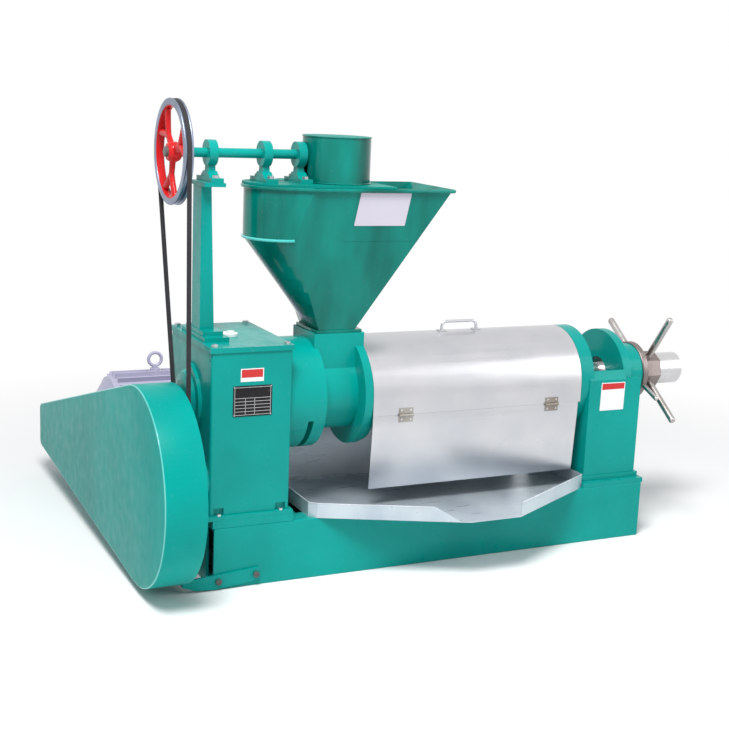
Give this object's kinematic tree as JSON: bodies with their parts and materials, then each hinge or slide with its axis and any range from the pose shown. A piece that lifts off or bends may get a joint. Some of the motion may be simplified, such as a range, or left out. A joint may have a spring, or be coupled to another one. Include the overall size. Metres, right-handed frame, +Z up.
{
  "type": "screw oil press",
  "caption": "Screw oil press: channel base, gearbox, guarded side motor, belt-driven feed hopper, barred press cage under a sheet hood, oil tray and adjusting nut.",
  "frame": {"origin": "centre of the base's underside, on the floor", "axes": "+X along the press axis from the gearbox to the adjusting nut, +Y from the operator's side to the motor, +Z up"},
  "size_m": [2.113, 1.781, 1.498],
  "materials": {
    "enamel_teal": "gloss machine enamel, teal green",
    "enamel_red": "gloss machine enamel, red, with a machined rim",
    "enamel_lilac": "semi-gloss machine enamel, pale lilac grey",
    "zinc_bolt": "zinc-plated",
    "machined_steel": "turned bright steel",
    "bearing_steel": "ground hardened steel",
    "gear_steel": "cut gear steel, oiled",
    "cast_iron_pulley": "machined grey iron, blue grey",
    "cast_iron_cage": "plain grey iron, oil darkened",
    "cast_brown": "machined iron, brownish",
    "belt_rubber": "dark grey V-belt rubber with fabric cover",
    "bronze": "bearing bronze",
    "white_plastic": "white moulded plastic",
    "galvanised_sheet": "bright zinc-coated sheet steel"
  },
  "bodies": {
    "frame": {"base_rail_front": "enamel_teal", "base_rail_rear": "enamel_teal", "base_cross_members": "enamel_teal", "gearbox_plinth": "enamel_teal", "column_pad": "enamel_teal", "motor_slide_rails": "enamel_teal", "gearbox_housing": "enamel_teal", "gearbox_lid": "enamel_teal", "gearbox_bolts": "zinc_bolt", "oil_filler_cap": "white_plastic", "spindle_bearing_cap": "enamel_teal", "shaft_bearing_caps": "enamel_teal", "gearbox_bearings": "bearing_steel", "drive_belts": "belt_rubber", "feed_belt": "belt_rubber", "feeder_bearings": "enamel_teal", "feeder_bearing_bolts": "zinc_bolt", "feeder_post": "enamel_teal", "hopper_shell": "enamel_teal", "hopper_lid": "enamel_teal", "auger_bush": "bronze", "feeder_can": "enamel_teal", "feeder_can_lid": "enamel_teal", "feed_throat": "enamel_teal", "cage_lower_half": "cast_iron_cage", "cage_upper_half": "cast_iron_cage", "cage_bolts": "zinc_bolt", "pressing_bars": "bearing_steel", "discharge_ring": "enamel_teal", "column_stand": "enamel_teal", "oil_tray": "galvanised_sheet", "splash_plate": "galvanised_sheet", "belt_guard": "enamel_teal", "guard_supports": "enamel_teal", "motor_frame": "enamel_lilac", "motor_end_covers": "enamel_lilac"},
    "input": {"input_shaft": "machined_steel", "drive_pulley": "cast_iron_pulley", "feed_drive_pulley": "cast_iron_pulley"},
    "countershaft": {"countershaft": "machined_steel", "counter_gear": "gear_steel"},
    "output_gear": {"output_gear": "gear_steel"},
    "motor_rotor": {"motor_pulley": "cast_iron_pulley", "motor_rotor": "machined_steel"},
    "feeder": {"feed_pulley": "enamel_red", "feeder_shaft": "machined_steel", "bevel_pinion": "gear_steel"},
    "auger": {"bevel_gear": "gear_steel", "feed_auger": "machined_steel"},
    "spindle": {"worm_segments": "machined_steel", "press_spindle": "machined_steel", "cake_cone": "machined_steel"},
    "sleeve": {"adjusting_sleeve": "machined_steel"},
    "nut": {"adjusting_nut": "cast_brown", "nut_rods": "machined_steel"},
    "hood": {"hood_shell": "galvanised_sheet", "hood_handle": "galvanised_sheet", "hood_hinges": "zinc_bolt"},
    "flap": {"hood_flap": "galvanised_sheet", "flap_hinge_leaves": "zinc_bolt"}
  },
  "joints": [
    {"name": "input_spin", "type": "hinge", "parent": "frame", "child": "input", "pos_m": [0, -0.143, 0.339], "axis": [1, 0, 0], "continuous": true},
    {"name": "motor_spin", "type": "hinge", "parent": "frame", "child": "motor_rotor", "pos_m": [0, 1.087, 0.228], "axis": [1, 0, 0], "continuous": true},
    {"name": "countershaft_spin", "type": "hinge", "parent": "frame", "child": "countershaft", "pos_m": [0, 0.01336, 0.37295], "axis": [1, 0, 0], "continuous": true},
    {"name": "output_gear_spin", "type": "hinge", "parent": "frame", "child": "output_gear", "pos_m": [0, 0, 0.57], "axis": [1, 0, 0], "continuous": true},
    {"name": "press_spin", "type": "hinge", "parent": "sleeve", "child": "spindle", "pos_m": [0, 0, 0.57], "axis": [1, 0, 0], "continuous": true},
    {"name": "feed_spin", "type": "hinge", "parent": "frame", "child": "feeder", "pos_m": [0, 0, 1.338], "axis": [1, 0, 0], "continuous": true},
    {"name": "auger_spin", "type": "hinge", "parent": "frame", "child": "auger", "pos_m": [-0.348, 0, 1], "axis": [0, 0, 1], "continuous": true},
    {"name": "nut_turn", "type": "hinge", "parent": "frame", "child": "nut", "pos_m": [0.916, 0, 0.57], "axis": [1, 0, 0], "range_deg": [-360, 360]},
    {"name": "sleeve_slide", "type": "slide", "parent": "frame", "child": "sleeve", "axis": [1, 0, 0], "range_m": [-0.008, 0.008]},
    {"name": "hood_lift", "type": "slide", "parent": "frame", "child": "hood", "axis": [0, 0, 1], "range_m": [0, 0.06]},
    {"name": "flap_hinge", "type": "hinge", "parent": "hood", "child": "flap", "pos_m": [0.137, -0.185, 0.5105], "axis": [-1, 0, 0], "range_deg": [0, 150]}
  ],
  "couplings": [
    {"joint": "motor_spin", "follows": "input_spin", "ratio": 4.4959},
    {"joint": "countershaft_spin", "follows": "input_spin", "ratio": -0.33333},
    {"joint": "output_gear_spin", "follows": "input_spin", "ratio": 0.091398},
    {"joint": "press_spin", "follows": "input_spin", "ratio": 0.091398},
    {"joint": "feed_spin", "follows": "input_spin", "ratio": 0.26518},
    {"joint": "auger_spin", "follows": "input_spin", "ratio": -0.13259},
    {"joint": "sleeve_slide", "follows": "nut_turn", "m_per_rad": 0.0012732}
  ]
}
